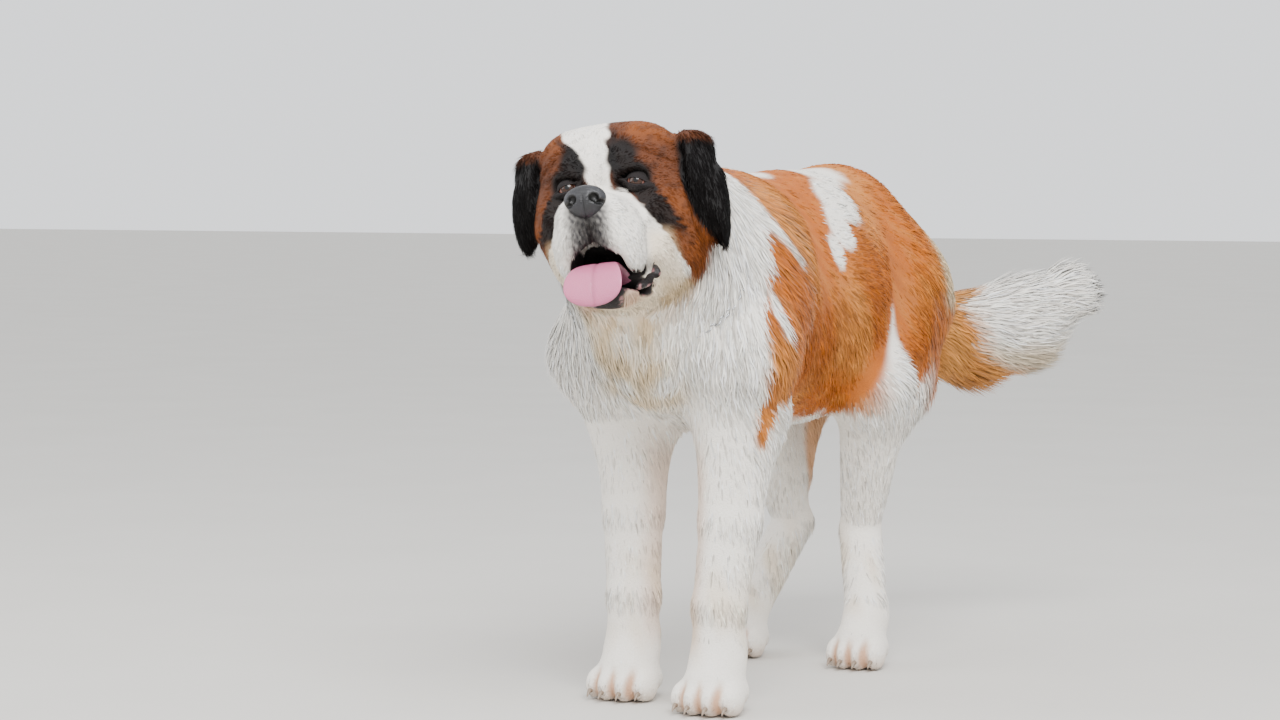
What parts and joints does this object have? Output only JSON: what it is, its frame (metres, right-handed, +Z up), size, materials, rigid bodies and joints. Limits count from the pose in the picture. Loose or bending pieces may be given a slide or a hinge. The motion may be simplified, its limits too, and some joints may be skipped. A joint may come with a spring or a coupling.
{
  "type": "saint bernard dog model",
  "caption": "Life-size Saint Bernard dog model, standing with head turned and raised, mouth open and tongue out, tail raised, orange and white coat, fine steel chain collar",
  "frame": {"origin": "Centre of the whole dog's box at the ground, under its belly", "axes": "+X is the dog's left, -Y is where the dog faces, +Z is up"},
  "size_m": [0.4954, 1.4146, 0.8375],
  "materials": {
    "white_coat": "matt soft hair",
    "tan_coat": "soft hair with a slight sheen",
    "black_coat": "short silky hair",
    "nose_leather": "moist fine-grained leather",
    "tongue_flesh": "wet and finely rough",
    "eyes": "wet and glossy",
    "steel_chain": "polished small links"
  },
  "bodies": {
    "root": {"collar": "steel_chain", "ear_left": "black_coat", "ear_right": "black_coat", "eye_left": "eyes", "eye_right": "eyes", "foreleg_left": "white_coat", "foreleg_right": "white_coat", "forepaw_left": "white_coat", "forepaw_right": "white_coat", "head": "tan_coat", "hindleg_left": "tan_coat", "hindleg_right": "tan_coat", "hindpaw_left": "white_coat", "hindpaw_right": "white_coat", "lower_jaw": "white_coat", "neck": "white_coat", "nose": "nose_leather", "tail_base": "tan_coat", "tail_middle": "white_coat", "tail_tip": "white_coat", "tongue": "tongue_flesh", "torso": "tan_coat"}
  },
  "joints": []
}
